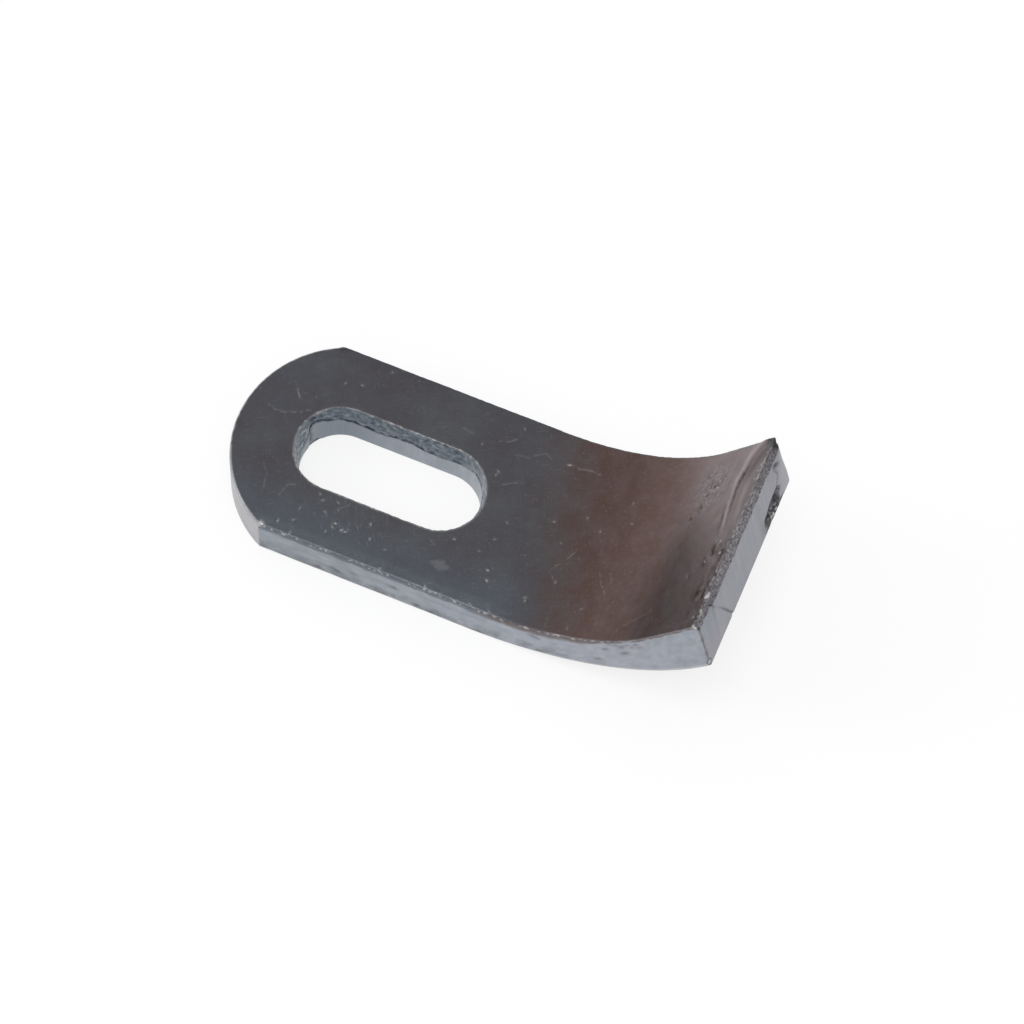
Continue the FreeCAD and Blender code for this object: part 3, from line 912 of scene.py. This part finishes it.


# Hot-rolled mill scale
# The skin of blue-grey iron oxide that grows as the bar cools, smooth and half metallic to the
# eye. The fire browned it in the bend. On the lip it is thin and pale, and painted paler still, a
# painted reflection of the white floor, and the rolled sides are painted lighter, a painted
# reflection of the white studio.
# Its own grain is a few hundredths of a millimetre, and is drawn at 0.35 mm so that it shows.
# A curled burr at the near foot of the end, which the mesh doesn't have, is painted as rings: a dark outer
# ring and a darker centre as painted shade, and a light ring between them as a painted highlight.
curl = (half_width, lip_end, end_wall - 1.5)
curl_painted_light_and_shade = [
    (curl, 1.0, 0.85, 0.8, "#45454a"),
    (curl, 0.65, 0.5, 0.9, "#b4b6bc"),
    (curl, 0.25, 0.15, 0.6, "#6d6e74"),
]
scale = steel_finish(
    "hot_rolled_mill_scale",
    {
        "cloud": (6.0, 0.0, 0.38, 0.62, 3.0),
        "mottle": (1.2, 0.0, 0.35, 0.65, 5.0),
        "grain": (0.35, 0.0, 0.3, 0.7, 2.0),
        "burn": (2.5, 0.0, 0.4, 0.6, 3.0),
        "scuffs": ((0.13, 1.5, 0.5), 0.5, 0.6, 0.72, 2.0),
        "cross_scuffs": ((0.13, 1.5, 0.5), -1.0, 0.6, 0.72, 2.0),
        "flecks": (0.35, 0.0, 0.35, 0.65, 2.0),
        "streaks": ((1.0, 5.6, 1.0), 0.0, 0.35, 0.65, 3.0),
        "specks": (0.3, 0.0, 0.64, 0.76, 1.0),
    },
    "#625f64",
    [
        (None, "cloud", 1.0, "#696b70"),
        (None, "mottle", 0.35, "#525155"),
        # Bluish scale, with a painted sheen along the near edge.
        ("bluish", None, 0.52, "#68717c"),
        ("browned", None, 0.9, "#6b544f"),
        ("browned", "burn", 0.9, "#634c45"),
        # Pale lip, partly a painted reflection of the white floor.
        ("pale", None, 0.62, "#837577"),
        # Painted highlight on the lit side of the crescent's ridge.
        ("pressed", None, 1.0, "#a8999c"),
        (None, "scuffs", 0.14, "#a9a7aa"),
        (None, "cross_scuffs", 0.1, "#a9a7aa"),
        ("handled", "cross_scuffs", 0.4, "#b5b3b6"),
        ("handled", "specks", 0.5, "#3d3c40"),
        ("smear", None, 0.35, "#98989c"),
        ("torn", None, 0.85, "#4f484c"),
        ("torn", "flecks", 0.85, "#9c9496"),
        # Painted reflection on the sides, more so towards the lip, with their own streaks and mottle.
        ("flank", None, 1.0, "#80888f"),
        ("front_flank", None, 1.0, "#a6a8b4"),
        ("flank", "streaks", 0.5, "#a3a9b4"),
        ("flank", "mottle", 0.4, "#7f868f"),
        ("foot", "mottle", 0.8, "#6d727a"),
        ("foot", None, 0.15, "#5d646c"),
        ("rolled", None, 0.9, "#57606c"),
        ("burnt_edge", None, 0.9, "#5c5051"),
        (None, "specks", 0.18, "#a5a8ad"),
        # Dark marks and painted shade, then bare steel and painted glints.
        ("dark", None, 1.0, "#39383b"),
        ("bare", None, 1.0, "#d5d3d3"),
    ],
    curl_painted_light_and_shade,
    [("grain", 0.25, 0.03), ("mottle", 0.35, 0.05)],
    {"Metallic": ("browned", 0.85, 0.55), "Roughness": ("mottle", 0.3, 0.42)},
)

# Cold-sheared steel
# The walls that the shear and the punch left: smooth and bright with fine streaks down the wall
# where the blade rubbed, dull and grainy where the metal tore. The streaks are drawn 0.5 mm wide,
# coarser than the real ones.
sheared = steel_finish(
    "cold_sheared_steel",
    {
        "streaks": ((0.5, 0.5, 4.2), 0.0, 0.35, 0.65, 3.0),
        "grain": (0.4, 0.0, 0.35, 0.65, 3.0),
        "cloud": (3.0, 0.0, 0.4, 0.6, 3.0),
    },
    "#8f959e",
    [
        (None, "streaks", 1.0, "#9aa0aa"),
        (None, "cloud", 0.5, "#868b93"),
        # Painted shade on the slot's far wall at the back.
        ("shaded", None, 0.65, "#64707b"),
        # The head wall, painted lighter towards the near side, partly a painted reflection.
        ("head_wall", None, 0.65, "#adaaae"),
        ("head_wall", "cloud", 0.4, "#c3bfc2"),
        ("head_wall", "grain", 0.25, "#7b7a7e"),
        ("torn", None, 1.0, "#606b75"),
        ("torn", "grain", 1.0, "#8d96a0"),
        # Dark marks and painted shade, then bare steel and painted glints.
        ("dark", None, 1.0, "#3b4148"),
        ("bare", None, 1.0, "#d5d3d3"),
    ],
    [],
    [("grain", 0.4, 0.06)],
    {"Metallic": 0.9, "Roughness": ("torn", 0.34, 0.5)},
)

# Hot-trimmed steel
# The end of the lip, cut while it was hot: a thin fresh scale, smooth and pale blue-grey, and
# coarse grains with bright facets on the torn band and in the chip. The grains are drawn 0.2 mm
# across, about twice their real size.
trimmed = steel_finish(
    "hot_trimmed_steel",
    {
        "cloud": (5.0, 0.0, 0.35, 0.65, 3.0),
        "streaks": ((1.6, 4.0, 6.0), 0.0, 0.35, 0.65, 3.0),
        "haze": ((3.0, 3.0, 9.0), 0.0, 0.42, 0.62, 2.0),
        "grain": (0.22, 0.0, 0.35, 0.65, 2.0),
        "coarse": (0.8, 0.0, 0.35, 0.65, 2.0),
        "glints": (0.3, 0.0, 0.64, 0.72, 1.0),
    },
    "#82878f",
    [
        (None, "cloud", 1.0, "#8b8992"),
        (None, "streaks", 0.25, "#939aa3"),
        (None, "haze", 0.3, "#9c9aa2"),
        # Painted light towards the far corner of the trimmed face.
        ("fresh", None, 0.4, "#aca8b0"),
        ("torn", None, 1.0, "#69676e"),
        ("torn", "grain", 1.0, "#afacb2"),
        ("torn", "coarse", 0.4, "#78747a"),
        ("torn", "glints", 0.55, "#cfc8c2"),
        # Dark marks and painted shade, then bare steel and painted glints.
        ("dark", None, 1.0, "#37373d"),
        ("bare", None, 1.0, "#d5d3d3"),
    ],
    curl_painted_light_and_shade,
    [("grain", 0.4, 0.05)],
    {"Metallic": 0.85, "Roughness": ("torn", 0.4, 0.5)},
)

# Which finish each face has. The head's rounded top edge takes its wall's finish on the near
# side, with the wall's painted reflection.
SCALE, SHEARED, TRIMMED = range(3)
for finish in (scale, sheared, trimmed):
    mesh.materials.append(finish)
bright_from = 6.5
sharp_angle = math.radians(40)
first_corner = np.array([face[0] for face in faces])
face_part, face_row = part[first_corner], row_of[first_corner]
wall_row = np.minimum(face_row, row_count - 1 - face_row) - band_insets.size
bright_edge = (wall_row >= 0) & (face_row < over_wall) & (rim[0, first_corner % rim_count, 0] > bright_from)
finishes = np.full(len(faces), SCALE)
finishes[(face_part == END) & (wall_row >= 2)] = TRIMMED
finishes[(face_part == HEAD) & ((wall_row >= 2) | bright_edge)] = SHEARED
finishes[(face_part == SLOT) & (wall_row >= 1)] = SHEARED
mesh.polygons.foreach_set("material_index", finishes)
mesh.validate()
mesh.shade_smooth()
mesh.set_sharp_from_angle(angle=sharp_angle)
blade = bpy.data.objects.new("pressed_blade", mesh)
bpy.context.scene.collection.objects.link(blade)
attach(blade, "root")
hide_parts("blade")

# The studio sweep
# A plain white floor that curves up all round, so that the blade stands on white from every side
# and its smooth faces mirror white as well. It keeps the blade's soft shadow.
sweep_flat = 2.0
sweep_bend = 0.6
sweep_top = 0.9
sweep_turns = 96
floor_gap = 0.0001
bend_turn = np.linspace(0, math.pi / 2, 16)
curve = [(sweep_flat + sweep_bend * math.sin(t), sweep_bend * (1 - math.cos(t))) for t in bend_turn]
profile = [(0.0, 0.0), (0.5, 0.0), *curve, (sweep_flat + sweep_bend, sweep_top)]
turn = np.arange(sweep_turns) / sweep_turns * 2 * math.pi
corners = [(0.0, 0.0, -floor_gap)]
for reach, rise in profile[1:]:
    corners += [(reach * math.cos(t), reach * math.sin(t), rise - floor_gap) for t in turn]
middle_fan = [(0, 1 + i, 1 + (i + 1) % sweep_turns) for i in range(sweep_turns)]
rings = np.arange(1, len(corners)).reshape(-1, sweep_turns)
sweep_mesh = bpy.data.meshes.new("studio_sweep")
sweep_mesh.from_pydata(corners, [], middle_fan + wall_quads(rings, inward=False).tolist())
sweep_mesh.shade_smooth()
sweep = bpy.data.objects.new("studio_sweep", sweep_mesh)
bpy.context.scene.collection.objects.link(sweep)

paper = bpy.data.materials.new("white_backdrop_paper")
paper.use_nodes = True
tree = paper.node_tree
tree.nodes.clear()
rays = add(tree, "ShaderNodeLightPath", {}, {})
seen = rays.outputs["Is Camera Ray"]
for ray in ("Is Glossy Ray", "Is Transmission Ray"):
    either = {0: seen, 1: rays.outputs[ray]}
    seen = add(tree, "ShaderNodeMath", {"operation": "MAXIMUM"}, either).outputs[0]
paper_colour = {MIX: seen, MIX_UNDER: srgb("#e7e7e7"), MIX_OVER: srgb("#959595")}
paper_colour = add(tree, "ShaderNodeMix", {"data_type": "RGBA"}, paper_colour).outputs[MIXED]
matt = add(tree, "ShaderNodeBsdfDiffuse", {}, {"Color": paper_colour})
glow = add(tree, "ShaderNodeMapRange", {}, {"Value": seen, "To Max": 0.78}).outputs["Result"]
glow = add(tree, "ShaderNodeEmission", {}, {"Color": srgb("#ffffff"), "Strength": glow})
both = add(tree, "ShaderNodeAddShader", {}, {0: matt.outputs[0], 1: glow.outputs[0]})
add(tree, "ShaderNodeOutputMaterial", {}, {"Surface": both.outputs[0]})
sweep_mesh.materials.append(paper)

# Studio light
# Plain soft light: an even sky, and softboxes overhead and low behind the head.
sky = bpy.data.worlds.new("studio_sky")
bpy.context.scene.world = sky
sky.use_nodes = True
sky_light = sky.node_tree.nodes["Background"]
sky_light.inputs["Color"].default_value = (1, 1, 1, 1)
sky_light.inputs["Strength"].default_value = 0.5
for name, place, size, power in (("overhead_softbox", (0.35, 0.05, 1.5), 0.8, 5.5),
                                 ("back_softbox", (0.5, -1.3, 0.9), 0.7, 3.0)):
    lamp = bpy.data.lights.new(name, "AREA")
    lamp.shape = "DISK"
    lamp.size = size
    lamp.energy = power
    softbox = bpy.data.objects.new(name, lamp)
    aim = Vector((0, 0.02, 0.01)) - Vector(place)
    softbox.matrix_world = Matrix.Translation(place) @ aim.to_track_quat("-Z", "Y").to_matrix().to_4x4()
    bpy.context.scene.collection.objects.link(softbox)
bpy.context.scene.view_settings.view_transform = "Standard"

# The camera
# At the photograph's angle, looking down past the near side, rolled a little.
azimuth, elevation, roll = (math.radians(angle) for angle in (107.7, 64.93, 5.2))
aim = Matrix.Translation(Vector((-3.2, 23.22, 4.59)) * MM)
distance = Matrix.Translation((0, 0, 0.697))
facing = Matrix.Rotation(azimuth, 4, "Z") @ Matrix.Rotation(math.pi / 2 - elevation, 4, "X")
facing = facing @ Matrix.Rotation(roll, 4, "Z")
lens = bpy.data.cameras.new("camera")
lens.lens = 132.4
lens.sensor_width = 36.0
camera = bpy.data.objects.new("camera", lens)
camera.matrix_world = aim @ facing @ distance
bpy.context.scene.collection.objects.link(camera)
bpy.context.scene.camera = camera
